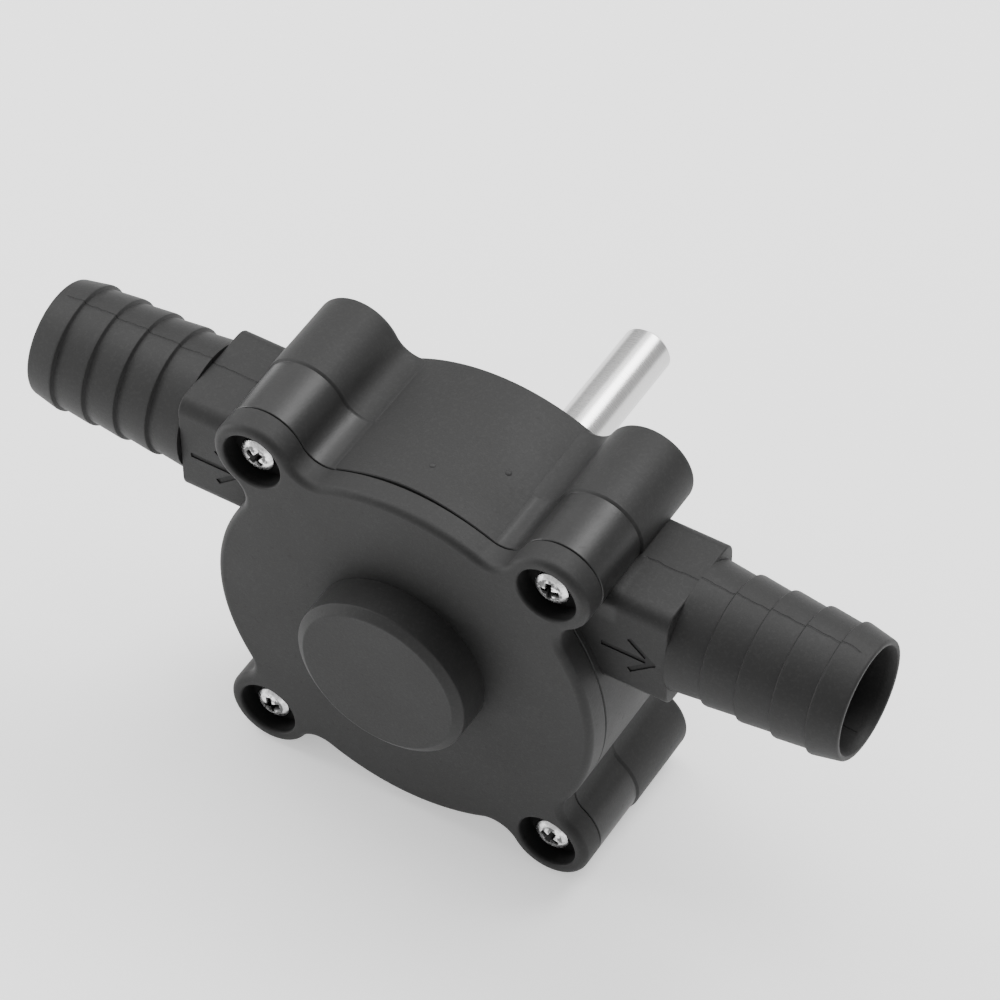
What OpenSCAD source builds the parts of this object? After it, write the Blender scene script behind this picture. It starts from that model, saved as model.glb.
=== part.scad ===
// Self-priming flexible-impeller water pump, driven by a drill through a round shaft.
// X runs along the two hose ports, Y along the shaft towards the drill, and Z is up.
// The origin lies on the shaft axis, where the free shank starts. Lengths are millimetres.

/* [Drive shaft] */
// Diameter of the round steel shaft, which is also the bore of both ball bearings
shaft_d = 8; // [7:0.5:9]
// Free length of the shank that the chuck grips
shank_len = 28; // [20:1:45]
// Chamfer on both ends of the shaft
shaft_chamfer = 0.8; // [0.2:0.1:1.5]

/* [Bearings and shaft seal] */
// Outer diameter of both ball bearings
bearing_d = 22; // [21:0.5:24]
// Width of both ball bearings
bearing_w = 7; // [6.5:0.1:9]
// Diameter of the bearing balls, as a share of the bearing's width
ball_share = 0.567; // [0.5:0.001:0.6]
// Number of balls in each bearing
ball_count = 7; // [5:1:8]
// Outer diameter of the lip seal
seal_d = 18; // [17:0.5:20]
// Width of the lip seal
seal_w = 5; // [4:0.5:7]

/* [Pump body] */
// Radius of the round body and of the cover in front of it
disc_r = 31.3; // [30.5:0.1:36]
// Height of the shaft axis above the centre of the round body and of the chamber
shaft_rise = 1; // [0.5:0.1:2]
// Width of the rim round the pumping chamber
rim_w = 4.3; // [3.8:0.1:6]
// Depth of the pumping chamber
chamber_depth = 18; // [15:0.5:22]
// Thickness of the wall behind the chamber
back_wall = 6.1; // [5:0.1:9]
// Wall around a ball bearing, in the rear hub and in the front boss
bearing_wall = 2.9; // [2.4:0.1:4]

/* [Cover] */
// Thickness of the cover at its rim
cover_t = 4.2; // [3.6:0.1:6]
// Height of the closed bearing boss above the cover's face
boss_h = 6.4; // [5.9:0.1:9]
// Bevel round the front edge of the cover
edge_bevel = 1; // [0.4:0.1:1.5]

/* [Cover screws] */
// Distance of each screw from the middle, left and right
screw_x = 24; // [23:0.5:27]
// Distance of each screw from the middle of the pattern, up and down
screw_z = 27.1; // [26:0.1:29]
// Radius of a screw ear
ear_r = 6.6; // [6:0.1:8]
// Radius of the hollow corner between an ear and the round body
corner_r = 4; // [2:0.5:6]
// Thread diameter of the cover screws
screw_d = 3; // [2.5:0.1:3.5]
// Length of a cover screw under its head
screw_len = 14; // [10:1:20]
// Radius of the well that the screw head lies in
well_r = 4.7; // [4:0.1:5.2]

/* [Hose ports] */
// Height of the port axis above the shaft axis
port_rise = 16; // [14:0.5:17]
// Width across the square block that carries each hose barb
block_w = 18.2; // [17:0.1:20]
// Distance from the shaft axis to the end of each block
block_end = 40.2; // [37:0.1:50]
// Radius over the crests of the hose barb
crest_r = 9.9; // [9.6:0.1:11]
// Radius in the valleys of the hose barb
valley_r = 9.4; // [9.2:0.1:9.5]
// Number of crests on each hose barb
crest_count = 5; // [3:1:8]
// Distance from one crest to the next
crest_pitch = 5.5; // [4:0.5:8]
// Bore radius of the hose barb
port_bore_r = 7.75; // [7:0.05:8.2]
// Radius of the passage from the barb into the chamber
passage_r = 5.8; // [4.5:0.1:6]
// Depth of the flow arrows cut into the blocks
arrow_depth = 0.4; // [0.2:0.1:1]

/* [Impeller] */
// Number of rubber vanes
vane_count = 6; // [5:1:8]
// Thickness of a vane
vane_t = 2.2; // [1.6:0.1:2.8]
// Radius of the rubber hub
rubber_hub_r = 9; // [8:0.5:10.5]
// How much longer the free vanes reach than the chamber's radius
vane_excess = 1.6; // [1.2:0.1:3]

/* [Hidden] */
$fn = 96;

// Clearances and the one overrun that every cut uses
overrun = 1;
seat_gap = 0.02;
running_gap = 0.2;
lip_gap = 0.05;
shaft_r = shaft_d / 2;
bearing_r = bearing_d / 2;
chamber_r = disc_r - rim_w;
vane_free_r = chamber_r + vane_excess;

// Places along the shaft, from the free shank at zero towards the front
hub_lip = 1;
circlip_t = 1;
circlip_play = 0.1;
shoulder_gap = 2;
seal_set_back = 0.3;
web_t = 2.2;
hub_end_y = -shoulder_gap;
groove_rear_y = hub_end_y - hub_lip;
rear_bearing_y = groove_rear_y - circlip_t - circlip_play - bearing_w;
seal_y = rear_bearing_y - seal_set_back - seal_w;
chamber_rear_y = seal_y - web_t;
chamber_front_y = chamber_rear_y - chamber_depth;
chamber_mid_y = chamber_rear_y - chamber_depth / 2;
housing_rear_y = chamber_rear_y + back_wall;
spigot_h = 1.2;
seam_y = chamber_front_y - spigot_h;
cover_front_y = seam_y - cover_t;
boss_front_y = cover_front_y - boss_h;
boss_front_wall = 2;
front_bearing_y = boss_front_y + boss_front_wall;

// Round body and its screw ears
disc_z = -shaft_rise;
screw_rise = 0.5;
screw_mid_z = disc_z + screw_rise;
ear_step = 0.3;
boss_rear_step = 0.4;
rear_bevel = 0.8;
hub_r = bearing_r + bearing_wall;
hub_chamfer = 0.8;
hub_fillet = 1.5;
screw_places = [for (side = [-1, 1], level = [-1, 1])
    [side * screw_x, screw_mid_z + level * screw_z]];

// Front boss
boss_edge_depth = 1;
boss_edge_width = 1.45;
race_relief = 0.5;
race_relief_w = 2;

// Screws and their wells
head_sink = 1.4;
screw_play = 0.2;
pilot_spare = 1;
head_r_share = 0.9;
head_h_share = 0.6;
head_edge_share = 0.4;
recess_shares = [0.95, 0.35, 0.19];
head_r = head_r_share * screw_d;
head_h = head_h_share * screw_d;
well_floor_y = cover_front_y + head_sink + head_h;
pilot_end_y = well_floor_y + screw_len + pilot_spare;

// Ports
block_corner_r = 2.5;
tip_len = 4.7;
tip_drop = 0.35;
crest_land = 0.4;
tip_round = 0.3;
mouth_lead = 1.5;
mouth_flare = 0.5;
arrow_len = 7.7;
arrow_head_l = 3.4;
arrow_head_w = 5.9;
arrow_line = 0.55;
arrow_inset = 2.3;
arrow_drop = 0.8;
tip_x = block_end + tip_len + (crest_count - 1) * crest_pitch;

// O-ring and its groove in the body's rim
ring_w = 1.6;
ring_h = 1.2;
ring_play = 0.05;
ring_mid_share = 0.48;
ring_mid_r = chamber_r + ring_mid_share * (disc_r - chamber_r);

// Impeller and its brass sleeve
sleeve_wall = 2.5;
sleeve_r = shaft_r + sleeve_wall;
impeller_front_y = chamber_front_y + running_gap;
impeller_rear_y = chamber_rear_y - running_gap;
bead_share = 0.75;
bead_r = bead_share * vane_t;
first_vane = 30;
wall_gap = 0.1;
pin_r = 1.25;
pin_set_back = 1;
pin_rear_wall = 0.8;
pin_y = impeller_rear_y - pin_r - pin_rear_wall;

// Ball bearings
pitch_r = (bearing_r + shaft_r) / 2;
ball_d = ball_share * bearing_w;
shoulder_share = 0.36;
shoulder = shoulder_share * ball_d;
groove_play = 0.06;
race_chamfer = 0.4;
cage_t = 1.2;
cage_play = 0.2;
shield_t = 0.6;
shield_set_back = 0.2;
shield_seat = 0.6;

// Lip seal
seal_case_t = 0.7;
seal_depth = seal_d / 2 - shaft_r;
spring_r = 0.45;
nose_share = 0.08;
edge_share = 0.42;
spring_share = 0.36;
lip_foot_share = 0.22;
lip_root_share = 0.26;
lip_back_share = 0.46;
flange_share = 2 / 3;

// Circlips
groove_depth = 0.55;
hub_ring_w = 2;
shaft_ring_t = 0.8;
shaft_ring_w = 1.7;
shaft_groove_depth = 0.3;
ring_opening = 24;
lug_r = 1.3;
lug_hole_r = 0.6;
spacer_w = 1.6;

// Turns a profile drawn as [radius, place along the shaft] about the shaft
module turned() {
    rotate([-90, 0, 0]) rotate_extrude() children();
}

// Turns such a profile about a line beside the shaft, through the point [x, z]
module turned_at(place) {
    translate([place[0], 0, place[1]]) turned() children();
}

// Extrudes a shape, drawn as seen from the front, from one place along the shaft to another
module slab(front, rear) {
    translate([0, rear, 0]) rotate([90, 0, 0]) linear_extrude(rear - front) children();
}

// A round bar along the shaft direction, through the point [x, z]
module bar(place, r, front, rear) {
    translate([place[0], front, place[1]]) rotate([-90, 0, 0]) cylinder(r = r, h = rear - front);
}

// A flat ring about the shaft
module ring(inner, outer, front, rear) {
    turned() translate([inner, front]) square([outer - inner, rear - front]);
}

// Centre of a hollow corner that touches an ear and the round body
function corner_centre(ear, r, side) =
    let (dx = ear[0], dz = ear[1] - disc_z)
    let (apart = norm([dx, dz]))
    let (from_body = disc_r + corner_r, from_ear = r + corner_r)
    let (turn = acos((apart * apart + from_body * from_body - from_ear * from_ear)
        / (2 * apart * from_body)))
    let (angle = atan2(dz, dx) + side * turn)
    [from_body * cos(angle), disc_z + from_body * sin(angle)];

// Points along an arc, from one angle to another
function arc(centre, r, from, to, steps) =
    [for (i = [0:steps]) let (angle = from + (to - from) * i / steps)
        centre + r * [cos(angle), sin(angle)]];

// The front outline of the pump: a round body with four screw ears and hollow corners
module outline(r) {
    translate([0, disc_z]) circle(r = disc_r);
    for (ear = screw_places) {
        translate(ear) circle(r = r);
        for (side = [-1, 1]) {
            centre = corner_centre(ear, r, side);
            difference() {
                polygon([[0, disc_z], centre, ear]);
                translate(centre) circle(r = corner_r + seat_gap);
            }
        }
    }
}

// The outline again, extruded from a bevelled face to a plain one
module bevelled_outline(face, plain, r, bevel) {
    way = sign(plain - face);
    turned_at([0, disc_z]) bevelled_profile(disc_r, face, plain, bevel);
    for (ear = screw_places) {
        turned_at(ear) bevelled_profile(r, face, plain, bevel);
        for (side = [-1, 1]) {
            centre = corner_centre(ear, r, side);
            difference() {
                slab(min(face, plain), max(face, plain)) polygon([[0, disc_z], centre, ear]);
                turned_at(centre) polygon([
                    [0, face - way * overrun],
                    [corner_r + seat_gap + bevel + overrun, face - way * overrun],
                    [corner_r + seat_gap, face + way * bevel],
                    [corner_r + seat_gap, plain + way * overrun], [0, plain + way * overrun]
                ]);
            }
        }
    }
}

module bevelled_profile(r, face, plain, bevel) {
    way = sign(plain - face);
    polygon([[0, face], [r - bevel, face], [r, face + way * bevel], [r, plain], [0, plain]]);
}

// Half section of a hose barb, as [radius, distance from the shaft axis along the port]
function barb_points() = concat(
    [[0, block_end - overrun], [valley_r, block_end - overrun], [valley_r, block_end]],
    [for (i = [crest_count - 1:-1:0])
        let (crest_x = tip_x - tip_len - i * crest_pitch)
        let (end_x = i == 0 ? tip_x - tip_round : crest_x + crest_pitch)
        let (end_r = i == 0 ? valley_r - tip_drop : valley_r)
        each [[crest_r, crest_x], [crest_r, crest_x + crest_land], [end_r, end_x]]],
    [[valley_r - tip_drop - tip_round, tip_x], [0, tip_x]]
);

// Places its children on the port axis, pointing out of the left or right port
module on_port(side) {
    translate([0, chamber_mid_y, port_rise]) rotate([0, side * 90, 0]) children();
}

// A square with rounded corners
module rounded_square(w, r) {
    steps = 5;
    polygon([for (i = [0:3])
        each arc((w / 2 - r) * [cos(90 * i) - sin(90 * i), sin(90 * i) + cos(90 * i)], r,
            90 * i, 90 * (i + 1), steps)]);
}

module pump_housing() {
    color("#2b2c2e") difference() {
        union() {
            slab(seam_y, chamber_mid_y) outline(ear_r);
            bevelled_outline(housing_rear_y - boss_rear_step, chamber_mid_y - seat_gap,
                ear_r + ear_step, rear_bevel);
            turned_at([0, disc_z]) bevelled_profile(disc_r, housing_rear_y, seam_y, rear_bevel);
            rear_hub();
            for (side = [-1, 1]) on_port(side) {
                linear_extrude(block_end) rounded_square(block_w, block_corner_r);
                rotate_extrude() polygon(barb_points());
            }
        }
        bar([0, disc_z], chamber_r, seam_y - overrun, chamber_rear_y);
        turned_at([0, disc_z]) translate([ring_mid_r, seam_y]) ring_groove();
        shaft_bores();
        for (side = [-1, 1]) on_port(side) port_bore();
        for (side = [-1, 1]) flow_arrow(side);
        for (place = screw_places) bar(place, screw_d / 2 + seat_gap, seam_y, pilot_end_y);
    }
}

// Arrow cut into the front of a block: both point from the inlet to the outlet
module flow_arrow(side) {
    face_y = chamber_mid_y - block_w / 2;
    tip = side > 0 ? block_end - arrow_inset : arrow_inset + arrow_len - block_end;
    translate([tip, 0, port_rise - arrow_drop]) slab(face_y - overrun, face_y + arrow_depth) {
        translate([-arrow_len, -arrow_line / 2]) square([arrow_len, arrow_line]);
        for (way = [-1, 1]) arrow_barb(way);
    }
}

// One of the two slanted strokes of an arrow's head
module arrow_barb(way) {
    lean = atan2(arrow_head_w / 2, arrow_head_l);
    rotate(180 - way * lean) translate([0, -arrow_line / 2])
        square([norm([arrow_head_l, arrow_head_w / 2]), arrow_line]);
}

// The hub behind the body, which holds the rear bearing
module rear_hub() {
    foot = [hub_r + hub_fillet, housing_rear_y + hub_fillet];
    steps = 5;
    turned() polygon(concat(
        [[0, chamber_rear_y], [foot[0], chamber_rear_y]],
        arc(foot, hub_fillet, -90, -180, steps),
        [[hub_r, hub_end_y - hub_chamfer], [hub_r - hub_chamfer, hub_end_y], [0, hub_end_y]]
    ));
}

// Bearing pocket, circlip groove, seal pocket and shaft hole of the rear hub
module shaft_bores() {
    bar([0, 0], bearing_r + seat_gap, rear_bearing_y, hub_end_y + overrun);
    bar([0, 0], bearing_r + groove_depth, groove_rear_y - circlip_t - circlip_play, groove_rear_y);
    bar([0, 0], seal_d / 2 + seat_gap, seal_y, rear_bearing_y + overrun);
    bar([0, 0], shaft_r + 2 * running_gap, chamber_rear_y - overrun, seal_y + overrun);
}

// Barb bore with its lead-in, and the passage that opens into the chamber
module port_bore() {
    cylinder(r = passage_r, h = block_end + overrun);
    translate([0, 0, block_end]) cylinder(r = port_bore_r, h = tip_x - block_end + overrun);
    translate([0, 0, tip_x - mouth_lead])
        cylinder(r1 = port_bore_r, r2 = port_bore_r + mouth_flare, h = mouth_lead);
    translate([0, 0, tip_x]) cylinder(r = port_bore_r + mouth_flare, h = overrun);
}

module ring_groove() {
    translate([-ring_w / 2 - ring_play, -overrun])
        square([ring_w + 2 * ring_play, ring_h + ring_play + overrun]);
}

module front_cover() {
    color("#26272a") difference() {
        union() {
            bevelled_outline(cover_front_y, seam_y, ear_r, edge_bevel);
            turned() front_boss_profile();
            bar([0, disc_z], chamber_r - running_gap / 2, seam_y - seat_gap, chamber_front_y);
        }
        bar([0, 0], bearing_r + seat_gap, front_bearing_y, chamber_front_y + overrun);
        bar([0, 0], bearing_r - race_relief_w, front_bearing_y - race_relief, front_bearing_y + overrun);
        for (place = screw_places) {
            bar(place, well_r, cover_front_y - overrun, well_floor_y);
            bar(place, screw_d / 2 + screw_play, well_floor_y - overrun, seam_y + overrun);
        }
    }
}

// The closed boss in front of the front bearing, with a bevelled edge
module front_boss_profile() {
    polygon([
        [0, boss_front_y], [hub_r - boss_edge_width, boss_front_y],
        [hub_r, boss_front_y + boss_edge_depth], [hub_r, seam_y], [0, seam_y]
    ]);
}

// The O-ring as it lies, pressed flat in its groove
module cover_o_ring() {
    color("#111111") turned_at([0, disc_z]) translate([ring_mid_r, seam_y + ring_h / 2]) {
        square([ring_w - ring_h, ring_h], center = true);
        for (side = [-1, 1]) translate([side * (ring_w - ring_h) / 2, 0]) circle(r = ring_h / 2);
    }
}

// Four pan-head screws with a cross recess
module cover_screws() {
    recess = screw_d * recess_shares;
    color("#c9ccd0") for (place = screw_places) translate([place[0], well_floor_y, place[1]]) {
        difference() {
            screw_head();
            for (turn = [0, 90]) rotate([0, turn, 0])
                translate([-recess[0] / 2, -head_h - overrun, -recess[2] / 2])
                    cube(recess + [0, overrun, 0]);
        }
        rotate([-90, 0, 0]) cylinder(r = screw_d / 2, h = screw_len - screw_d);
        translate([0, screw_len - screw_d, 0]) rotate([-90, 0, 0])
            cylinder(r1 = screw_d / 2, r2 = screw_d / 4, h = screw_d);
    }
}

module screw_head() {
    crown_h = (1 - head_edge_share) * head_h;
    crown_r = (head_r * head_r + crown_h * crown_h) / (2 * crown_h);
    intersection() {
        translate([0, -head_h, 0]) rotate([-90, 0, 0]) cylinder(r = head_r, h = head_h);
        translate([0, crown_r - head_h, 0]) sphere(r = crown_r);
    }
}

module drive_shaft() {
    front = front_bearing_y + 2 * running_gap;
    color("#b9bcc0") difference() {
        turned() polygon([
            [0, front], [shaft_r - shaft_chamfer, front], [shaft_r, front + shaft_chamfer],
            [shaft_r, shank_len - shaft_chamfer], [shaft_r - shaft_chamfer, shank_len],
            [0, shank_len]
        ]);
        shaft_ring_groove();
        translate([0, pin_y, 0]) cylinder(r = pin_r + seat_gap, h = shaft_d + overrun, center = true);
    }
}

module shaft_ring_groove() {
    ring_y = rear_bearing_y + bearing_w;
    ring(shaft_r - shaft_groove_depth, shaft_r + overrun, ring_y, ring_y + shaft_ring_t + seat_gap);
}

// The pin through the shaft that turns the sleeve
module drive_pin() {
    color("#8d9196") translate([0, pin_y, 0])
        cylinder(r = pin_r, h = 2 * (sleeve_r - pin_set_back), center = true);
}

// Brass sleeve inside the rubber, slotted at the rear for the pin
module impeller_sleeve() {
    slot_w = 2 * (pin_r + lip_gap);
    color("#b08d45") difference() {
        ring(shaft_r + seat_gap, sleeve_r, impeller_front_y, impeller_rear_y);
        translate([-slot_w / 2, pin_y, -sleeve_r - overrun])
            cube([slot_w, impeller_rear_y - pin_y + overrun, 2 * (sleeve_r + overrun)]);
        translate([0, pin_y, 0])
            cylinder(r = slot_w / 2, h = 2 * (sleeve_r + overrun), center = true);
    }
}

// Point on a vane's centre line at length s, for a bend given in 1/mm
function vane_point(angle, bend, s) =
    let (turned_by = bend * s * 180 / PI)
    let (out = rubber_hub_r + sin(turned_by) / bend, aside = (1 - cos(turned_by)) / bend)
    [out * cos(angle) + aside * sin(angle), out * sin(angle) - aside * cos(angle)];

// How far the bead of a vane stands off the chamber wall
function vane_stand_off(angle, bend) =
    chamber_r - bead_r - wall_gap
        - norm(vane_point(angle, bend, vane_free_r - bead_r - rubber_hub_r) - [0, disc_z]);

// The bend at which the bead just clears the wall, found by halving
function vane_bend(angle, low, high, steps) =
    steps == 0 ? high
    : let (middle = (low + high) / 2)
    vane_stand_off(angle, middle) < 0
        ? vane_bend(angle, middle, high, steps - 1)
        : vane_bend(angle, low, middle, steps - 1);

// A bent vane: a curved strip of even thickness with a sealing bead at its tip
module vane(angle) {
    turn_limits = [0.01, 3];
    halvings = 24;
    points = 12;
    bend = vane_bend(angle, turn_limits[0] / vane_free_r, turn_limits[1] / vane_free_r, halvings);
    bead_s = vane_free_r - bead_r - rubber_hub_r;
    stations = [for (i = [0:points]) -vane_t + (bead_s + vane_t) * i / points];
    sides = [for (side = [-1, 1]) [for (s = stations)
        let (lean = angle - bend * s * 180 / PI)
        vane_point(angle, bend, s) + side * vane_t / 2 * [-sin(lean), cos(lean)]]];
    polygon(concat(sides[0], [for (i = [points:-1:0]) sides[1][i]]));
    translate(vane_point(angle, bend, bead_s)) circle(r = bead_r);
}

// Rubber impeller as it lies in the chamber: each vane trails the turn and is bent by the wall
module impeller() {
    color("#3a3a3c") slab(impeller_front_y, impeller_rear_y) difference() {
        union() {
            circle(r = rubber_hub_r);
            for (i = [0:vane_count - 1]) vane(first_vane + i * 360 / vane_count);
        }
        circle(r = sleeve_r + seat_gap);
    }
}

// Spacer between the front bearing and the impeller sleeve
module shaft_spacer() {
    color("#a7a9ac")
        ring(shaft_r + seat_gap, shaft_r + spacer_w, front_bearing_y + bearing_w, impeller_front_y);
}

// Outer race: grooved for the balls, with a seat for a shield on both sides
module outer_race(front) {
    inner = pitch_r + shoulder;
    shield_r = inner + shield_seat;
    seat_depth = shield_set_back + shield_t;
    color("#c3c6ca") turned() difference() {
        translate([inner, front]) square([bearing_r - inner, bearing_w]);
        translate([inner - overrun, front - overrun])
            square([shield_r - inner + overrun, seat_depth + overrun]);
        translate([inner - overrun, front + bearing_w - seat_depth])
            square([shield_r - inner + overrun, seat_depth + overrun]);
        translate([pitch_r, front + bearing_w / 2]) circle(r = ball_d / 2 + groove_play);
        for (place = [front, front + bearing_w]) translate([bearing_r, place])
            rotate(45) square(race_chamfer * sqrt(2), center = true);
    }
}

module inner_race(front) {
    outer = pitch_r - shoulder;
    inner = shaft_r + seat_gap;
    color("#c3c6ca") turned() difference() {
        translate([inner, front]) square([outer - inner, bearing_w]);
        translate([pitch_r, front + bearing_w / 2]) circle(r = ball_d / 2 + groove_play);
        for (place = [front, front + bearing_w]) translate([inner, place])
            rotate(45) square(race_chamfer * sqrt(2), center = true);
    }
}

// Places its children at each ball of a bearing
module each_ball(front) {
    for (i = [0:ball_count - 1]) rotate([0, i * 360 / ball_count, 0])
        translate([0, front + bearing_w / 2, pitch_r]) children();
}

module balls(front) {
    color("#d6d9dd") each_ball(front) sphere(r = ball_d / 2);
}

module cage(front) {
    half_w = bearing_w / 2 - shield_set_back - shield_t - cage_play;
    middle = front + bearing_w / 2;
    color("#7d6a45") difference() {
        ring(pitch_r - cage_t / 2, pitch_r + cage_t / 2, middle - half_w, middle + half_w);
        each_ball(front) sphere(r = ball_d / 2 + groove_play);
    }
}

module shields(front) {
    inner = pitch_r - shoulder + running_gap;
    outer = pitch_r + shoulder + shield_seat - seat_gap;
    color("#1d1d1f") for (start = [front + shield_set_back,
            front + bearing_w - shield_set_back - shield_t])
        ring(inner, outer, start, start + shield_t);
}

module front_bearing_outer_race() {
    outer_race(front_bearing_y);
}

module front_bearing_inner_race() {
    inner_race(front_bearing_y);
}

module front_bearing_balls() {
    balls(front_bearing_y);
}

module front_bearing_cage() {
    cage(front_bearing_y);
}

module front_bearing_shields() {
    shields(front_bearing_y);
}

module rear_bearing_outer_race() {
    outer_race(rear_bearing_y);
}

module rear_bearing_inner_race() {
    inner_race(rear_bearing_y);
}

module rear_bearing_balls() {
    balls(rear_bearing_y);
}

module rear_bearing_cage() {
    cage(rear_bearing_y);
}

module rear_bearing_shields() {
    shields(rear_bearing_y);
}

// Pressed steel case of the lip seal, open towards the chamber
module shaft_seal_case() {
    outer = seal_d / 2;
    color("#9a9da1") turned() {
        translate([outer - seal_case_t, seal_y]) square([seal_case_t, seal_w]);
        translate([outer - flange_share * seal_depth, seal_y + seal_w - seal_case_t])
            square([flange_share * seal_depth, seal_case_t]);
    }
}

// Rubber lip, bonded to the case's rear flange and pressed to the shaft by its spring
module shaft_seal_lip() {
    flange_y = seal_y + seal_w - seal_case_t;
    nose_y = seal_y + nose_share * seal_w;
    edge_y = seal_y + edge_share * seal_w;
    back_r = shaft_r + lip_back_share * seal_depth;
    color("#5a3322") turned() difference() {
        polygon([
            [shaft_r + lip_gap, edge_y], [shaft_r + lip_foot_share * seal_depth, nose_y],
            [back_r, nose_y], [back_r, flange_y],
            [shaft_r + lip_root_share * seal_depth, flange_y]
        ]);
        translate(spring_place()) circle(r = spring_r + seat_gap);
    }
}

function spring_place() =
    [shaft_r + lip_back_share * seal_depth, seal_y + spring_share * seal_w];

// Garter spring in the groove round the lip
module shaft_seal_spring() {
    color("#c9ccd0") turned() translate(spring_place()) circle(r = spring_r);
}

// Internal circlip, with two lugs beside its gap, that holds the rear bearing
module hub_circlip() {
    outer = bearing_r + groove_depth - 2 * lip_gap;
    inner = outer - hub_ring_w;
    lug_turn = ring_opening / 2 + 2 * asin(lug_r / (2 * inner));
    front = groove_rear_y - circlip_t - circlip_play;
    color("#4a4c50") slab(front, front + circlip_t) difference() {
        union() {
            difference() {
                circle(r = outer);
                circle(r = inner);
                gap_wedge(outer, ring_opening);
            }
            for (side = [-1, 1]) rotate(-90 + side * lug_turn)
                translate([inner - lug_r / 4, 0]) circle(r = lug_r);
        }
        for (side = [-1, 1]) rotate(-90 + side * lug_turn)
            translate([inner - lug_r / 4, 0]) circle(r = lug_hole_r);
    }
}

// External circlip on the shaft, against the rear bearing's inner race
module shaft_circlip() {
    inner = shaft_r - shaft_groove_depth + seat_gap;
    front = rear_bearing_y + bearing_w;
    color("#4a4c50") slab(front, front + shaft_ring_t) difference() {
        circle(r = inner + shaft_ring_w);
        circle(r = inner);
        gap_wedge(inner + shaft_ring_w, 3 * ring_opening);
    }
}

// A wedge that opens a circlip at the bottom
module gap_wedge(r, opening) {
    reach = r + overrun;
    polygon([[0, 0], [-reach * tan(opening / 2), -reach], [reach * tan(opening / 2), -reach]]);
}

pump_housing();
front_cover();
cover_o_ring();
cover_screws();
drive_shaft();
drive_pin();
impeller_sleeve();
impeller();
shaft_spacer();
front_bearing_outer_race();
front_bearing_inner_race();
front_bearing_balls();
front_bearing_cage();
front_bearing_shields();
rear_bearing_outer_race();
rear_bearing_inner_race();
rear_bearing_balls();
rear_bearing_cage();
rear_bearing_shields();
shaft_seal_case();
shaft_seal_lip();
shaft_seal_spring();
hub_circlip();
shaft_circlip();
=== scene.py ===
import math

import bmesh
import bpy
from mathutils import Matrix, Vector
from mathutils.geometry import delaunay_2d_cdt


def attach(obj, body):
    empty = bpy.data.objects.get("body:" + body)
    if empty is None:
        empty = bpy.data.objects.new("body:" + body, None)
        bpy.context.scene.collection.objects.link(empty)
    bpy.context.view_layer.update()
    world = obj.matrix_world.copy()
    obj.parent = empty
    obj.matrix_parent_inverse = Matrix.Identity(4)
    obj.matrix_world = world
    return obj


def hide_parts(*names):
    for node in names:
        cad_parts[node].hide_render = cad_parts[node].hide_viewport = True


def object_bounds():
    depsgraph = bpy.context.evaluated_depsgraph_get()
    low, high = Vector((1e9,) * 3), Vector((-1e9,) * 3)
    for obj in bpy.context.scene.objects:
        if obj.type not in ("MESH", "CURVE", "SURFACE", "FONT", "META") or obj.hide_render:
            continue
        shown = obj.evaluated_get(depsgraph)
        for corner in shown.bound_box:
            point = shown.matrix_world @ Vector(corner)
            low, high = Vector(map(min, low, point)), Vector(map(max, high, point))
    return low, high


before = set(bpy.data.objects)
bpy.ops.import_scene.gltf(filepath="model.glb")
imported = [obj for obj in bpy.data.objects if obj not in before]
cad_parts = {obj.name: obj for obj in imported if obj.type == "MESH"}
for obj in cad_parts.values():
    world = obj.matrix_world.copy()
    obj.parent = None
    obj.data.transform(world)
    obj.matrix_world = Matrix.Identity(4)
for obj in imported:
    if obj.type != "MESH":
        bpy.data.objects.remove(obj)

cad_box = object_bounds()

# Sizes of the pump in millimetres. X runs along the ports, Y along the shaft away from
# the cover, and Z is up.
MM = 0.001
DISC_R = 31.3
DISC_Z = -1.0
CHAMBER_R = 27.0
CORNER_R = 4.0
EAR_R = 6.6
REAR_EAR_R = 6.9
EARS = [(24.0, 26.6), (-24.0, 26.6), (-24.0, -27.6), (24.0, -27.6)]
HUB_R = 13.9
BEARING_R = 11.02
RACE_CLEAR_R = 9.0
SEAL_R = 9.02
SHAFT_HOLE_R = 4.4
RING_GROOVE_R = (28.21, 29.91)
RING_GROOVE_DEPTH = 1.25
EAR_RING_R = 29.0
WELL_R = 4.7
HEAD_R = 2.7
THREAD_R = 1.5
BOSS_FACE_Y = -48.4
FRONT_BEARING_Y = -46.4
COVER_Y = -42.0
CROWN_Y = -41.3
WELL_FLOOR_Y = -38.8
SEAM_Y = -37.8
CHAMBER_FRONT_Y = -36.6
MIDDLE_Y = -27.6
CHAMBER_FLOOR_Y = -18.6
SEAL_Y = -16.4
EAR_BACK_Y = -12.9
BACK_Y = -12.5
REAR_BEARING_Y = -11.1
CIRCLIP_GROOVE_Y = (-4.1, -3.0)
HUB_END_Y = -2.0
PORT_Z = 16.0
PASSAGE_R = 5.8
PASSAGE_LEN = 80.0
BORE_R = 7.75
CREST_R = 9.9
VALLEY_R = 9.4
CREST_COUNT = 5
CREST_PITCH = 5.5
BLOCK_START = 4.0
BLOCK_END = 40.2
BLOCK_W = 18.2
BLOCK_CORNER_R = 2.5
ARROW_Z = 15.2
ARROW_DEPTH = 0.2
ARROW_LINE_W = 0.9
TIP_X = 66.9
LENS_PIXELS = 5105.70


# Outlines and shells

def arc(centre, r, start, end, count):
    """Points on an arc, without its last one."""
    return [(centre[0] + r * math.cos(start + (end - start) * i / count),
             centre[1] + r * math.sin(start + (end - start) * i / count)) for i in range(count)]


def circle(centre, r, count):
    return arc(centre, r, 0, 2 * math.pi, count)


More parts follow.
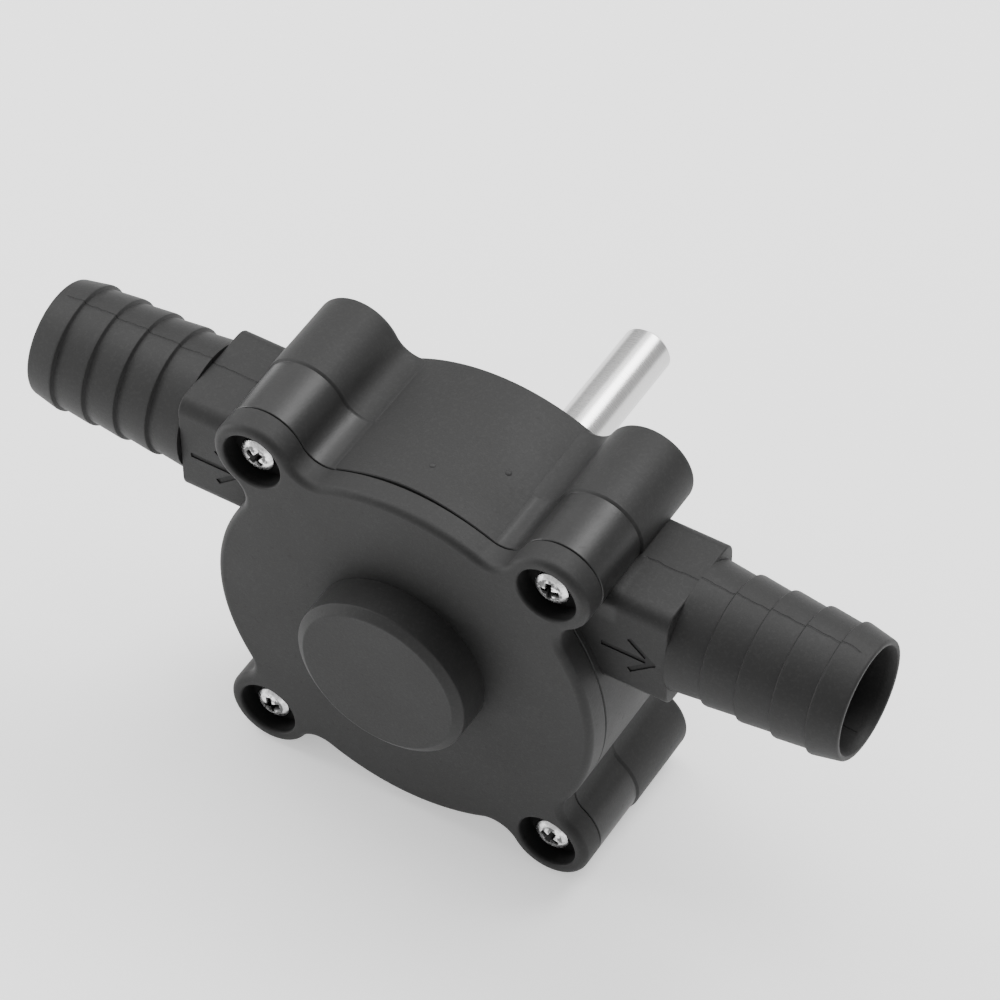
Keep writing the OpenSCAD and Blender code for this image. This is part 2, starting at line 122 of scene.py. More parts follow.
def hollow_corner(ear, ear_r, side):
    """Centre of the hollow corner beside an ear, and its angle round the body."""
    away = Vector((ear[0], ear[1] - DISC_Z))
    to_body, to_ear = DISC_R + CORNER_R, ear_r + CORNER_R
    turn = math.acos((away.length_squared + to_body ** 2 - to_ear ** 2)
                     / (2 * away.length * to_body))
    angle = math.atan2(away.y, away.x) + side * turn
    return (to_body * math.cos(angle), DISC_Z + to_body * math.sin(angle)), angle


def eared_outline(ear_r, inset=0.0, disc_inset=None):
    """The front outline of the pump, set in by a distance: four ears on a round body."""
    if disc_inset is None:
        disc_inset = inset
    points = []
    for i, ear in enumerate(EARS):
        first, first_angle = hollow_corner(ear, ear_r, -1)
        last, last_angle = hollow_corner(ear, ear_r, 1)
        _, next_angle = hollow_corner(EARS[(i + 1) % 4], ear_r, -1)

        def heading(a, b):
            return math.atan2(b[1] - a[1], b[0] - a[0])

        start, end = first_angle + math.pi, heading(first, ear)
        points += arc(first, CORNER_R + inset, start, start - (start - end) % (2 * math.pi), 12)
        start, end = heading(ear, first), heading(ear, last)
        points += arc(ear, ear_r - inset, start, start + (end - start) % (2 * math.pi), 44)
        start, end = heading(last, ear), last_angle + math.pi
        points += arc(last, CORNER_R + inset, start, start - (start - end) % (2 * math.pi), 12)
        turn = (next_angle - last_angle) % (2 * math.pi)
        points += arc((0.0, DISC_Z), DISC_R - disc_inset, last_angle, last_angle + turn,
                      44 if i % 2 else 20)
    return points


def inside(point, loop):
    """Whether a point lies inside a closed loop."""
    x, z = point
    hit = False
    for (x0, z0), (x1, z1) in zip(loop, loop[1:] + loop[:1]):
        if (z0 > z) != (z1 > z) and x < (x1 - x0) * (z - z0) / (z1 - z0) + x0:
            hit = not hit
    return hit


class Shell:
    """Collects the loops, bands and flat faces of one closed surface."""

    def __init__(self):
        self.points = []
        self.faces = []

    def loop(self, outline, y):
        """Adds an outline of (x, z) at a place along the shaft; y may be a function of both."""
        start = len(self.points)
        for x, z in outline:
            self.points.append((x, y(x, z) if callable(y) else y, z))
        return list(range(start, len(self.points)))

    def band(self, one, other):
        for i in range(len(one)):
            j = (i + 1) % len(one)
            self.faces.append((one[i], one[j], other[j], other[i]))

    def flat(self, outer, *holes):
        """A flat face between an outer loop and any holes in it."""
        rings = [outer, *holes]
        order = [i for ring in rings for i in ring]
        flat = [Vector((self.points[i][0], self.points[i][2])) for i in order]
        edges, start = [], 0
        for ring in rings:
            edges += [(start + k, start + (k + 1) % len(ring)) for k in range(len(ring))]
            start += len(ring)
        loops = [[(self.points[i][0], self.points[i][2]) for i in ring] for ring in rings]
        verts, _, faces, origin, _, _ = delaunay_2d_cdt(flat, edges, [], 0, 1e-7)
        for face in faces:
            middle = sum((verts[k] for k in face), Vector((0.0, 0.0))) / len(face)
            if sum(inside(middle, ring) for ring in loops) == 1:
                self.faces.append(tuple(order[origin[k][0]] for k in face))

    def stack(self, steps):
        """Bands between loops of equal length, given as (outline, y)."""
        rings = [self.loop(outline, y) for outline, y in steps]
        for one, other in zip(rings, rings[1:]):
            self.band(one, other)
        return rings[0], rings[-1]


def rounding(r, steps=5):
    """How far a rounded edge is set in, and how far along it lies, from its face to its side."""
    turns = [math.pi / 2 * i / steps for i in range(steps + 1)]
    return [(r * (1 - math.sin(t)), r * (1 - math.cos(t))) for t in turns]


def mesh_of(name, points, faces, scale=MM):
    mesh = bpy.data.meshes.new(name)
    mesh.from_pydata([Vector(p) * scale for p in points], [], faces)
    work = bmesh.new()
    work.from_mesh(mesh)
    bmesh.ops.remove_doubles(work, verts=work.verts, dist=1e-7)
    bmesh.ops.recalc_face_normals(work, faces=work.faces)
    work.to_mesh(mesh)
    work.free()
    return mesh


def piece(name, points, faces):
    item = bpy.data.objects.new(name, mesh_of(name, points, faces))
    bpy.context.scene.collection.objects.link(item)
    return item


def turned(name, profile, count=128):
    """A closed profile of (radius, y) turned about the shaft."""
    shell = Shell()
    rings = [shell.loop(circle((0.0, 0.0), r, count), y) for r, y in profile]
    for one, other in zip(rings, rings[1:] + rings[:1]):
        shell.band(one, other)
    return piece(name, shell.points, shell.faces)


def along_port(item, side):
    """Turns a piece that was made about the shaft direction so that it lies on a port."""
    turn = Matrix.Rotation(-side * math.pi / 2, 4, "Z")
    item.data.transform(Matrix.Translation((0, MIDDLE_Y * MM, PORT_Z * MM)) @ turn)
    return item


def cut(item, *tools, operation="DIFFERENCE"):
    """Cuts closed tools out of a piece, or unites them with it, and removes the tools."""
    for tool in tools:
        modifier = item.modifiers.new("cut", "BOOLEAN")
        modifier.object = tool
        modifier.operation = operation
        modifier.solver = "EXACT"
    bpy.context.view_layer.update()
    graph = bpy.context.evaluated_depsgraph_get()
    done = bpy.data.meshes.new_from_object(item.evaluated_get(graph))
    item.modifiers.clear()
    item.data = done
    for tool in tools:
        bpy.data.objects.remove(tool)
    return item


def joined(name, items):
    """Joins pieces into one named object."""
    work = bmesh.new()
    for item in items:
        work.from_mesh(item.data)
        bpy.data.objects.remove(item)
    mesh = bpy.data.meshes.new(name)
    work.to_mesh(mesh)
    work.free()
    item = bpy.data.objects.new(name, mesh)
    bpy.context.scene.collection.objects.link(item)
    return item


def smoothed(item, angle=32):
    """Shades a piece smooth, keeps its corners, and keeps flat faces flat."""
    for polygon in item.data.polygons:
        polygon.use_smooth = True
    item.data.set_sharp_from_angle(angle=math.radians(angle))
    weighted = item.modifiers.new("flat_faces", "WEIGHTED_NORMAL")
    weighted.keep_sharp = True
    weighted.weight = 100
    return item


def cylinder(name, centre, r, start, end, count=96):
    shell = Shell()
    first, last = shell.stack([(circle(centre, r, count), start), (circle(centre, r, count), end)])
    shell.faces += [tuple(first), tuple(last)]
    return piece(name, shell.points, shell.faces)


# Front cover

def front_cover():
    """The eared cover, with its rounded edge, four screw wells and the closed boss."""
    shell = Shell()
    edge = [(eared_outline(EAR_R, inset), COVER_Y + along) for inset, along in rounding(1.15, 6)]
    rim = SEAM_Y - 0.06
    sides = [(eared_outline(EAR_R), rim - 0.10), (eared_outline(EAR_R, 0.08), rim)]
    front, back = shell.stack(edge + sides)
    holes = []
    for ear in EARS:
        lip = [(circle(ear, WELL_R + inset, 64), COVER_Y + along)
               for inset, along in rounding(0.35, 4)]
        mouth, bottom = shell.stack(lip + [(circle(ear, WELL_R, 64), WELL_FLOOR_Y)])
        shell.faces.append(tuple(bottom))
        holes.append(mouth)
    crown = [(0.0, COVER_Y)] + [(inset, BOSS_FACE_Y + along) for inset, along in (
        (0.0, 1.15), (0.06, 0.98), (0.16, 0.85), (1.24, 0.14), (1.4, 0.05), (1.62, 0.0))]
    rings = [(circle((0, 0), HUB_R - inset, 128), y) for inset, y in crown]
    boss_foot, boss_face = shell.stack(rings)
    shell.faces.append(tuple(boss_face))
    shell.flat(front, boss_foot, *holes)
    spigot = circle((0, DISC_Z), CHAMBER_R - 0.1, 128)
    spigot_back, spigot_front = shell.stack([(spigot, rim), (spigot, CHAMBER_FRONT_Y)])
    shell.flat(back, spigot_back)
    pocket = [(BEARING_R, CHAMBER_FRONT_Y), (BEARING_R, FRONT_BEARING_Y),
              (RACE_CLEAR_R, FRONT_BEARING_Y), (RACE_CLEAR_R, FRONT_BEARING_Y - 0.5)]
    mouth, bottom = shell.stack([(circle((0, 0), r, 96), y) for r, y in pocket])
    shell.flat(spigot_front, mouth)
    shell.faces.append(tuple(bottom))
    return smoothed(piece("cover_shell", shell.points, shell.faces))


# Pump housing

def seam_wave(x, z):
    """The rim of the housing isn't quite flat: the seam opens a little at the top."""
    angle = math.atan2(x, z - DISC_Z)
    return 0.34 * math.exp(-((angle + 0.08) / 0.22) ** 2) + 0.03 * math.sin(9 * angle)


def drum():
    """The round body: rim with the ring's groove, pumping chamber and rear face."""
    shell = Shell()
    rim = SEAM_Y + 0.09
    groove_floor = SEAM_Y + RING_GROOVE_DEPTH
    groove_inner, groove_outer = RING_GROOVE_R
    outer_r = DISC_R + 0.01
    profile = [(CHAMBER_R, rim + 0.1), (CHAMBER_R + 0.1, rim),
               (groove_inner, rim), (groove_inner, groove_floor),
               (groove_outer, groove_floor), (groove_outer, rim),
               (outer_r - 0.12, rim), (outer_r, rim + 0.14)]
    profile += [(outer_r - inset, BACK_Y - along) for inset, along in reversed(rounding(0.8))]
    profile += [(6.0, BACK_Y), (6.0, CHAMBER_FLOOR_Y), (CHAMBER_R - 0.15, CHAMBER_FLOOR_Y),
                (CHAMBER_R, CHAMBER_FLOOR_Y - 0.15)]
    rings = []
    for r, y in profile:
        wave = (lambda x, z, y=y: y + seam_wave(x, z)) if y < SEAM_Y + 0.5 and r > 30 else y
        rings.append(shell.loop(circle((0, DISC_Z), r, 160), wave))
    for one, other in zip(rings, rings[1:] + rings[:1]):
        shell.band(one, other)
    return piece("drum", shell.points, shell.faces)


def ear_ring():
    """The four screw bosses on a ring that lies inside the body's wall."""
    shell = Shell()
    face = SEAM_Y + 0.09
    steps = [(EAR_R, 0.10, face), (EAR_R, 0.0, face + 0.12), (EAR_R, 0.0, MIDDLE_Y - 0.06),
             (REAR_EAR_R, 0.05, MIDDLE_Y + 0.26), (REAR_EAR_R, 0.0, MIDDLE_Y + 0.42)]
    steps += [(REAR_EAR_R, inset, EAR_BACK_Y - along) for inset, along in reversed(rounding(0.8))]
    front, back = shell.stack([(eared_outline(r, inset, 0.7), y) for r, inset, y in steps])
    inner = circle((0, DISC_Z), EAR_RING_R, 96)
    inner_front, inner_back = shell.stack([(inner, face), (inner, EAR_BACK_Y)])
    shell.flat(front, inner_front)
    shell.flat(back, inner_back)
    return piece("ear_ring", shell.points, shell.faces)


def pip(x, y):
    """A tiny raised dot that the mould left on the round body's top."""
    r = DISC_R + 0.01
    z = DISC_Z + math.sqrt(r * r - x * x)
    out = Vector((x, 0.0, z - DISC_Z)).normalized()
    side = Vector((out.z, 0.0, -out.x))
    along = Vector((0.0, 1.0, 0.0))
    shell = Shell()
    for size, lift in ((0.50, -0.1), (0.50, 0.02), (0.36, 0.10), (0.16, 0.14)):
        start = len(shell.points)
        for u, v in circle((0, 0), size, 16):
            shell.points.append(Vector((x, y, z)) + side * u + along * v + out * lift)
        if start:
            shell.band(list(range(start - 16, start)), list(range(start, start + 16)))
    shell.faces += [tuple(range(16)), tuple(range(48, 64))]
    return piece("pip", shell.points, shell.faces)


def rounded_square(w, r, steps=6):
    points = []
    for i in range(4):
        turn = math.pi / 2 * i
        c, s = math.cos(turn), math.sin(turn)
        half = w / 2 - r
        points += arc((half * (c - s), half * (s + c)), r, turn, turn + math.pi / 2, steps)
        points.append((half * (c - s) + r * math.cos(turn + math.pi / 2),
                       half * (s + c) + r * math.sin(turn + math.pi / 2)))
    return points


def port_block(side):
    """The square block that carries a hose barb, open along its passage."""
    shell = Shell()
    steps = [(rounded_square(BLOCK_W, BLOCK_CORNER_R), BLOCK_START)]
    steps += [(rounded_square(BLOCK_W - 2 * inset, BLOCK_CORNER_R - inset), BLOCK_END - along)
              for inset, along in reversed(rounding(0.35, 4))]
    first, last = shell.stack(steps)
    shell.faces += [tuple(first), tuple(last)]
    block = along_port(piece("block", shell.points, shell.faces), side)
    chamber = cylinder("tool", (0, DISC_Z), EAR_RING_R, -60, 0, 160)
    return cut(block, chamber, flow_arrow(side), passage(side))


def passage(side):
    """Tool that cuts the passage of a port."""
    return along_port(cylinder("tool", (0, 0), PASSAGE_R, 0, PASSAGE_LEN), side)


def flow_arrow(side):
    """Tool that cuts the flow arrow into the front of a block."""
    def stroke(start, end, w):
        along = (Vector(end) - Vector(start)).normalized()
        across = Vector((-along.y, along.x)) * w / 2
        a, b = Vector(start) - along * w / 2, Vector(end) + along * w / 2
        return [tuple(a - across), tuple(b - across), tuple(b + across), tuple(a + across)]

    tip = 37.9 if side > 0 else -30.2
    face = MIDDLE_Y - BLOCK_W / 2
    items = []
    for start, end in (((-7.7, 0), (0, 0)), ((-3.4, 2.95), (0, 0)), ((-3.4, -2.95), (0, 0))):
        shell = Shell()
        outline = [(x + tip, y + ARROW_Z) for x, y in stroke(start, end, ARROW_LINE_W)]
        first, last = shell.stack([(outline, face - 1), (outline, face + ARROW_DEPTH)])
        shell.faces += [tuple(first), tuple(last)]
        items.append(piece("stroke", shell.points, shell.faces))
    return cut(*items, operation="UNION")


def hose_barb(side):
    """Five crests with sharp backs, and the bore with its lead-in."""
    profile = [(BORE_R, BLOCK_END - 0.05), (CREST_R, BLOCK_END - 0.05), (CREST_R, BLOCK_END)]
    for i in range(CREST_COUNT):
        crest = BLOCK_END + CREST_PITCH * i
        if i:
            profile += [(VALLEY_R, crest - 0.22), (VALLEY_R + 0.1, crest - 0.12),
                        (CREST_R - 0.1, crest), (CREST_R - 0.02, crest + 0.08)]
        profile.append((CREST_R, crest + 0.4))
        if i < CREST_COUNT - 1:
            profile.append((VALLEY_R + 0.02, crest + CREST_PITCH - 0.5))
    profile += [(9.15, TIP_X - 0.42), (9.08, TIP_X - 0.2), (8.95, TIP_X - 0.06), (8.75, TIP_X),
                (8.45, TIP_X), (8.28, TIP_X - 0.1), (8.22, TIP_X - 0.25), (BORE_R, TIP_X - 1.5)]
    return along_port(turned("barb", profile, count=144), side)


def rear_hub():
    """The hub behind the body: bearing pocket, groove for the circlip and seal pocket."""
    foot = [(HUB_R + 1.5 * (1 - math.cos(t)), BACK_Y + 1.5 * (1 - math.sin(t)))
            for t in (math.pi / 2 * (1 - i / 6) for i in range(7))]
    groove_front, groove_rear = CIRCLIP_GROOVE_Y
    profile = [(SHAFT_HOLE_R, CHAMBER_FLOOR_Y), (HUB_R + 1.5, CHAMBER_FLOOR_Y + 1.0)] + foot
    profile += [(HUB_R, HUB_END_Y - 0.9), (HUB_R - 0.1, HUB_END_Y - 0.72),
                (HUB_R - 0.72, HUB_END_Y - 0.1), (HUB_R - 0.9, HUB_END_Y),
                (BEARING_R + 0.2, HUB_END_Y), (BEARING_R, HUB_END_Y - 0.2),
                (BEARING_R, groove_rear), (BEARING_R + 0.53, groove_rear),
                (BEARING_R + 0.53, groove_front), (BEARING_R, groove_front),
                (BEARING_R, REAR_BEARING_Y), (SEAL_R, REAR_BEARING_Y),
                (SEAL_R, SEAL_Y), (SHAFT_HOLE_R, SEAL_Y)]
    return turned("hub", profile)


def pump_housing():
    parts = []
    for make in (drum, ear_ring):
        tools = [passage(side) for side in (-1, 1)]
        parts.append(cut(make(), *tools))
    parts.append(rear_hub())
    parts += [pip(-0.2, -32.2), pip(9.0, -27.0)]
    for side in (-1, 1):
        parts += [port_block(side), hose_barb(side)]
    return smoothed(joined("housing_shell", parts))


# Screws

def cross_screw(place):
    """A pan-head screw with a tapered cross recess."""
    seat = WELL_FLOOR_Y
    crown_h = 0.95
    crown_r = (HEAD_R ** 2 + crown_h ** 2) / (2 * crown_h)
    profile = [(0.0, CROWN_Y)]
    for i in range(1, 9):
        r = (HEAD_R - 0.15) * i / 8
        profile.append((r, CROWN_Y + crown_r - math.sqrt(crown_r ** 2 - r ** 2)))
    profile += [(HEAD_R - 0.04, CROWN_Y + 0.93), (HEAD_R, CROWN_Y + 1.1), (HEAD_R, seat - 0.12),
                (HEAD_R - 0.1, seat), (THREAD_R, seat), (THREAD_R, seat + 11.0),
                (THREAD_R / 2, seat + 14.0), (0.0, seat + 14.0)]
    shell = Shell()
    rings = [shell.loop(circle(place, max(r, 0.02), 64), y) for r, y in profile]
    for one, other in zip(rings, rings[1:]):
        shell.band(one, other)
    shell.faces += [tuple(rings[0]), tuple(rings[-1])]
    screw = piece("screw", shell.points, shell.faces)
    turn = 0.35 + 0.9 * place[0] + 0.3 * place[1]
    tools = []
    for quarter in (0, math.pi / 2):
        c, s = math.cos(turn + quarter), math.sin(turn + quarter)
        shell = Shell()
        steps = []
        for half_l, half_w, depth in ((1.8, 0.62, -0.6), (1.5, 0.45, 0.4), (0.6, 0.25, 1.6)):
            corners = ((-half_l, -half_w), (half_l, -half_w), (half_l, half_w), (-half_l, half_w))
            outline = [(place[0] + u * c - v * s, place[1] + u * s + v * c) for u, v in corners]
            steps.append((outline, CROWN_Y + depth))
        first, last = shell.stack(steps)
        shell.faces += [tuple(first), tuple(last)]
        tools.append(piece("tool", shell.points, shell.faces))
    return cut(screw, *tools)


def cover_screws():
    return smoothed(joined("screw_set", [cross_screw(place) for place in EARS]), 28)


# Materials

class Wire:
    """A socket's value. Sums, products and powers of wires add the maths nodes for them."""

    def __init__(self, surface, socket):
        self.surface = surface
        self.socket = socket

    def maths(self, operation, *values):
        return self.surface.add("Math", {"operation": operation}, dict(enumerate(values)))

    def __add__(self, other):
        return self.maths("ADD", self, other)

    def __radd__(self, other):
        return self.maths("ADD", other, self)

    def __sub__(self, other):
        return self.maths("SUBTRACT", self, other)

    def __rsub__(self, other):
        return self.maths("SUBTRACT", other, self)

    def __mul__(self, other):
        return self.maths("MULTIPLY", self, other)

    def __rmul__(self, other):
        return self.maths("MULTIPLY", other, self)

    def __pow__(self, other):
        return self.maths("POWER", self, other)

    def __abs__(self):
        return self.maths("ABSOLUTE", self)

    def over(self, edge, width):
        """0 below an edge and 1 above it, with a soft step of the given width."""
        return self.surface.add("MapRange", {"interpolation_type": "SMOOTHSTEP"}, {
            "Value": self, "From Min": edge - width / 2, "From Max": edge + width / 2})


class Surface:
    """One finish: its nodes are added with add(), and its constants set on the shader."""

    def __init__(self, name, **constants):
        self.material = bpy.data.materials.new(name)
        self.material.use_nodes = True
        self.tree = self.material.node_tree
        self.tree.nodes.clear()
        self.shader = self.tree.nodes.new("ShaderNodeBsdfPrincipled")
        output = self.tree.nodes.new("ShaderNodeOutputMaterial")
        self.tree.links.new(self.shader.outputs[0], output.inputs[0])
        for socket, value in constants.items():
            self.shader.inputs[socket.replace("_", " ")].default_value = value

    def add(self, kind, settings, inputs, output=0):
        node = self.tree.nodes.new("ShaderNode" + kind)
        for name, value in settings.items():
            setattr(node, name, value)
        for name, value in inputs.items():
            if isinstance(value, Wire):
                self.tree.links.new(value.socket, node.inputs[name])
            else:
                node.inputs[name].default_value = value
        return Wire(self, node.outputs[output])

    def place(self):
        return self.add("TexCoord", {}, {}, "Object")

    def axes(self):
        split = self.add("SeparateXYZ", {}, {"Vector": self.place()})
        return [Wire(self, socket) for socket in split.socket.node.outputs]

    def noise(self, size, detail=3.0, rough=0.5, stretch=None):
        """Noise with features of about the given size in millimetres."""
        where = self.place()
        if stretch:
            where = self.add("VectorMath", {"operation": "MULTIPLY"}, {0: where, 1: stretch})
        return self.add("TexNoise", {}, {"Vector": where, "Scale": 1 / (size * MM),
                                         "Detail": detail, "Roughness": rough})

    def mix(self, share, one, other):
        return self.add("Mix", {"data_type": "RGBA"}, {0: share, 6: one, 7: other}, 2)

    def bump(self, height, depth, strength=1.0, normal=None):
        """Bump from a height of 0 to 1, whose full depth is given in millimetres."""
        inputs = {"Height": height, "Distance": depth * MM, "Strength": strength}
        if normal:
            inputs["Normal"] = normal
        return self.add("Bump", {}, inputs)

    def feed(self, **sockets):
        for name, wire in sockets.items():
            self.tree.links.new(wire.socket, self.shader.inputs[name.replace("_", " ")])
        return self


def grey(value, warm=0.0):
    return (value * (1 + warm), value, value * (1 - warm), 1.0)


def at_screws(x, z, r):
    """1 within a distance of a screw's axis, and 0 elsewhere."""
    clear = 1.0
    for ear in EARS:
        away = ((x - ear[0] * MM) ** 2 + (z - ear[1] * MM) ** 2) ** 0.5
        clear = clear * away.over(r * MM, 0.1 * MM)
    return 1 - clear


def worn_zinc():
    """Bright zinc plating, chewed by a screwdriver, with painted shade in the cross recess."""
    s = Surface("screw_finish", Metallic=1.0)
    blotch = s.noise(0.7, 2.0, 0.55)
    x, y, z = s.axes()
    # Painted shade: the deep part of each cross recess is coloured near black.
    recess = at_screws(x, z, 1.7) * y.over((CROWN_Y + 0.45) * MM, 0.12 * MM)
    scar = blotch.over(0.50, 0.16) * at_screws(x, z, 1.95)
    colour = s.mix(blotch.over(0.5, 0.4), grey(0.90), grey(0.5))
    colour = s.mix(scar * 0.85, colour, grey(0.09))
    colour = s.mix(recess, colour, grey(0.05))
    return s.feed(Base_Color=colour, Roughness=0.28 + (blotch - 0.5) * 0.3 + scar * 0.25,
                  Normal=s.bump(blotch, 0.06, 0.8)).material


def moulded_plastic(name, tone, body):
    """Matte black plastic. The body shows the mould's parting line and has painted shade in its
    engraved flow arrows; the cover has painted shade in its screw wells.
    """
    s = Surface(name, Specular_IOR_Level=0.32)
    grain = s.noise(0.25, 2.0)
    speck = s.noise(0.55, 2.0, 0.6)
    cloud = s.noise(9.0, 3.0)
    dust = s.noise(0.9, 4.0, 0.65).over(0.66, 0.10)
    colour = s.mix(cloud.over(0.5, 0.5), grey(tone * 0.85), grey(tone * 1.15, 0.01))
    colour = s.mix(speck.over(0.58, 0.16) * 0.35, colour, grey(tone * 1.8, 0.01))
    colour = s.mix(dust * 0.25, colour, grey(tone * 3.0, 0.03))
    rough = 0.62 + (cloud - 0.5) * 0.16 + dust * 0.12 + (grain - 0.5) * 0.12
    normal = s.bump(grain, 0.018, 0.9)
    x, y, z = s.axes()
    if body:
        out = (x * x + (z - DISC_Z * MM) ** 2) ** 0.5
        polished = out.over(31.45 * MM, 0.15 * MM) * abs(z - DISC_Z * MM).over(21.5 * MM, 1.5 * MM)
        polished = polished * (1 - y.over(MIDDLE_Y * MM, 0.15 * MM))
        polished = polished * (1 - abs(x).over(32.0 * MM, 1.0 * MM))
        rough = rough - polished * 0.2
        wander = (s.noise(1.6, 2.0) - 0.5) * (0.6 * MM)
        half_w = (0.07 + s.noise(1.1) * 0.1) * MM
        groove = 1 - abs(y - MIDDLE_Y * MM + wander).over(half_w, 0.10 * MM)
        groove = groove * abs(x).over(31.5 * MM, 1.0 * MM) * (1 - abs(x).over(65.2 * MM, 0.6 * MM))
        colour = s.mix(groove * 0.7, colour, grey(tone * 0.25))
        normal = s.bump(1 - groove, 0.10, 0.9, normal)
        # Painted shade: the floor of each engraved flow arrow is coloured darker and made rougher.
        face = MIDDLE_Y - BLOCK_W / 2
        arrow = y.over((face + 0.1) * MM, 0.1 * MM) * (1 - y.over((face + 0.4) * MM, 0.1 * MM))
        arrow = arrow * (1 - abs(z - ARROW_Z * MM).over(4.4 * MM, 0.4 * MM))
        arrow = arrow * abs(x).over(22 * MM, 1 * MM) * (1 - abs(x).over(39.3 * MM, 0.6 * MM))
        colour = s.mix(arrow * 0.45, colour, grey(tone * 0.3))
        rough = rough + arrow * 0.1
    else:
        # Painted shade: the inside of each screw well is coloured near black and made rougher.
        painted_well_shade = at_screws(x, z, WELL_R + 0.05) * y.over((COVER_Y + 0.5) * MM, 0.6 * MM)
        colour = s.mix(painted_well_shade, colour, grey(tone * 0.25))
        rough = rough + painted_well_shade * 0.25
    return s.feed(Base_Color=colour, Roughness=rough, Normal=normal).material


def metal(name, colour, rough, size=1.5, spots=0.0):
    """A plated or ground metal with a slight cloud in its tone and gloss."""
    s = Surface(name, Metallic=1.0)
    cloud = s.noise(size, 4.0, 0.6)
    fine = s.noise(size / 8, 2.0)
    dark = tuple(c * 0.72 for c in colour[:3]) + (1.0,)
    tone = s.mix(cloud.over(0.5, 0.5), dark, colour)
    if spots:
        black = tuple(c * 0.35 for c in colour[:3]) + (1.0,)
        tone = s.mix(fine.over(0.62, 0.1) * spots, tone, black)
    return s.feed(Base_Color=tone, Roughness=rough + (cloud - 0.5) * 0.2 + (fine - 0.5) * 0.1,
                  Normal=s.bump(fine, 0.008, 0.4)).material


def rubber(name, colour, rough=0.6):
    s = Surface(name, Specular_IOR_Level=0.35)
    cloud = s.noise(3.0, 3.0)
    fine = s.noise(0.18, 2.0)
    pale = tuple(c * 1.6 for c in colour[:3]) + (1.0,)
    tone = s.mix(cloud.over(0.55, 0.4) * 0.6, colour, pale)
    return s.feed(Base_Color=tone, Roughness=rough + (cloud - 0.5) * 0.15,
                  Normal=s.bump(fine, 0.012, 0.5)).material


def shaft_steel():
    s = Surface("shaft_finish", Metallic=1.0)
    rings = s.noise(0.10, 2.0, 0.5, (0.02, 1.0, 0.02))
    cloud = s.noise(14.0, 2.0, 0.5)
    tone = s.mix(cloud.over(0.5, 0.6), grey(0.50), grey(0.58, 0.01))
    return s.feed(Base_Color=tone, Roughness=0.27 + (cloud - 0.5) * 0.05 + (rings - 0.5) * 0.08,
                  Normal=s.bump(rings, 0.003, 0.3)).material


# The pump

body_finish = moulded_plastic("body_finish", 0.0105, True)
cover_finish = moulded_plastic("cover_finish", 0.010, False)

housing = pump_housing()
cover = front_cover()
screws = cover_screws()
for item, node, finish, look in ((housing, "pump_housing", "body_plastic", body_finish),
                                 (cover, "front_cover", "cover_plastic", cover_finish),
                                 (screws, "cover_screws", "zinc_screw", worn_zinc())):
    item.data.materials.clear()
    item.data.materials.append(look)
    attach(item, "pump_body")
    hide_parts(node)

race_look = metal("race_finish", (0.62, 0.63, 0.65, 1.0), 0.16, 3.0)
circlip_look = metal("circlip_finish", (0.10, 0.10, 0.11, 1.0), 0.42, 1.0, 0.4)
shield_look = rubber("shield_finish", (0.016, 0.016, 0.017, 1.0), 0.45)
cage_look = metal("cage_finish", (0.55, 0.44, 0.24, 1.0), 0.34, 1.0)
ball_look = metal("ball_finish", (0.72, 0.73, 0.75, 1.0), 0.08, 1.0)
looks = {
    "drive_shaft": shaft_steel(),
    "drive_pin": metal("pin_finish", (0.42, 0.43, 0.45, 1.0), 0.28),
    "impeller_sleeve": metal("sleeve_finish", (0.70, 0.52, 0.22, 1.0), 0.30),
    "impeller": rubber("impeller_finish", (0.022, 0.022, 0.024, 1.0), 0.55),
    "shaft_spacer": metal("spacer_finish", (0.60, 0.61, 0.63, 1.0), 0.26),
    "cover_o_ring": rubber("ring_finish", (0.012, 0.012, 0.013, 1.0), 0.4),
    "shaft_seal_case": metal("seal_case_finish", (0.50, 0.51, 0.52, 1.0), 0.35),
    "shaft_seal_lip": rubber("seal_lip_finish", (0.09, 0.035, 0.02, 1.0), 0.5),
    "shaft_seal_spring": metal("spring_finish", (0.66, 0.67, 0.68, 1.0), 0.25),
    "hub_circlip": circlip_look,
    "shaft_circlip": circlip_look,
}
for end in ("front", "rear"):
    looks[end + "_bearing_outer_race"] = race_look
    looks[end + "_bearing_inner_race"] = race_look
    looks[end + "_bearing_balls"] = ball_look
    looks[end + "_bearing_cage"] = cage_look
    looks[end + "_bearing_shields"] = shield_look
for node, look in looks.items():
    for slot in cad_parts[node].material_slots:
        slot.material = look

# Floor, light and camera

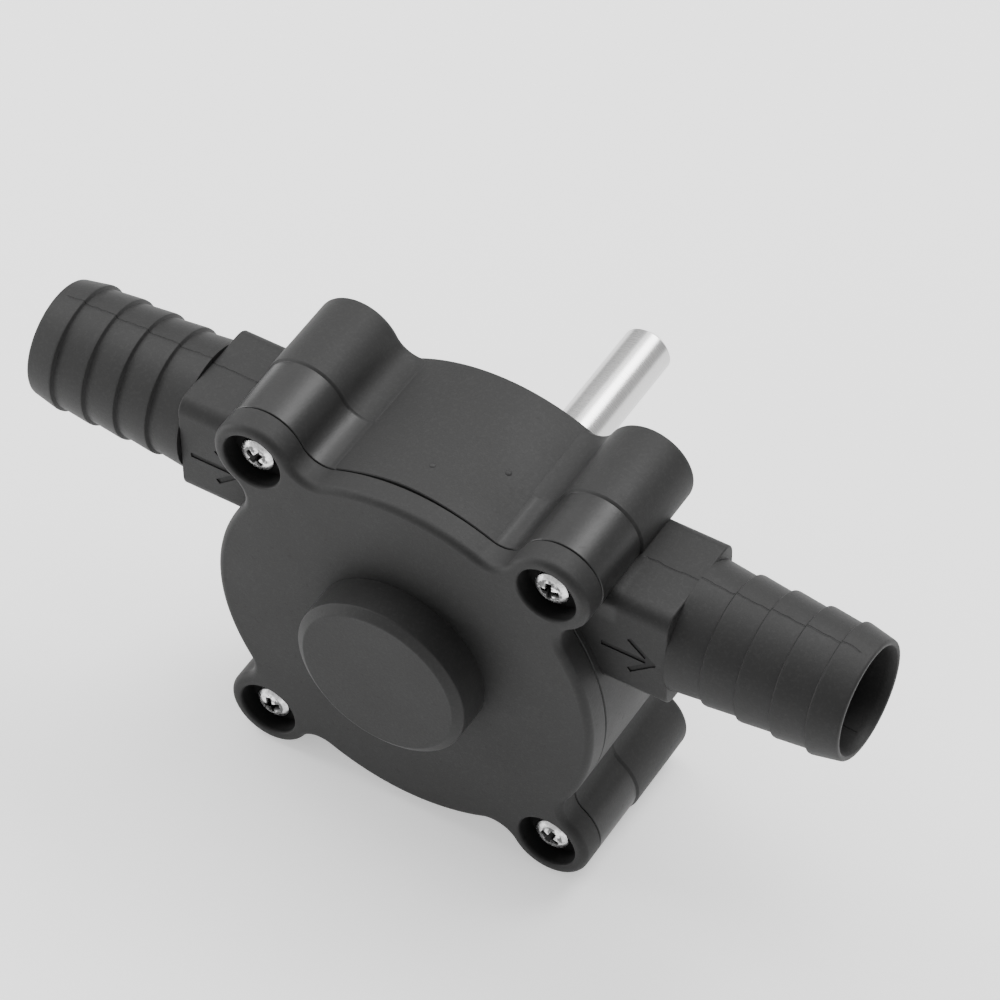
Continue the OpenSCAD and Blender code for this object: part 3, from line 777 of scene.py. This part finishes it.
floor_z = cad_box[0].z
floor_corners = [(x, y, floor_z) for x, y in ((-3, -3), (3, -3), (3, 3), (-3, 3))]
floor_mesh = mesh_of("floor", floor_corners, [(0, 1, 2, 3)], 1.0)
floor = bpy.data.objects.new("floor", floor_mesh)
bpy.context.scene.collection.objects.link(floor)
paper = Surface("floor_finish", Roughness=0.85, Specular_IOR_Level=0.2, Emission_Strength=0.55,
                Emission_Color=(1.0, 1.0, 1.0, 1.0))
paper.feed(Base_Color=paper.mix(paper.noise(60.0, 2.0), grey(0.78), grey(0.82)))
floor_mesh.materials.append(paper.material)

world = bpy.data.worlds.new("studio")
bpy.context.scene.world = world
world.use_nodes = True
sky = world.node_tree.nodes["Background"]
sky.inputs["Color"].default_value = (1.0, 1.0, 1.0, 1.0)
sky.inputs["Strength"].default_value = 0.7


def softbox(name, place, size, power):
    """A large square light that faces the pump."""
    light = bpy.data.lights.new(name, "AREA")
    light.shape = "SQUARE"
    light.size = size
    light.energy = power
    lamp = bpy.data.objects.new(name, light)
    lamp.location = place
    lamp.rotation_euler = Vector(place).to_track_quat("Z", "Y").to_euler()
    bpy.context.scene.collection.objects.link(lamp)


softbox("top_light", (0.06, 0.42, 1.12), 1.1, 10.5)
softbox("back_light", (0.30, 0.70, 0.92), 0.55, 10.0)
softbox("left_light", (-0.78, 0.12, 0.90), 0.9, 13.0)
softbox("low_light", (-1.08, -0.46, 0.14), 0.3, 5.5)

camera_data = bpy.data.cameras.new("camera")
camera_data.sensor_width = 36.0
camera_data.lens = LENS_PIXELS * camera_data.sensor_width / 1000.0
camera_data.clip_start = 0.05
camera_data.clip_end = 20.0
camera = bpy.data.objects.new("camera", camera_data)
forward = Vector((-0.35315722, 0.56626371, -0.74473176))
up = Vector((-0.38313274, 0.63867726, 0.66730852))
right = forward.cross(up)
facing = Matrix((right, up, -forward)).transposed().to_4x4()
camera.matrix_world = Matrix.Translation((0.25948, -0.43097, 0.55380)) @ facing
bpy.context.scene.collection.objects.link(camera)
bpy.context.scene.camera = camera
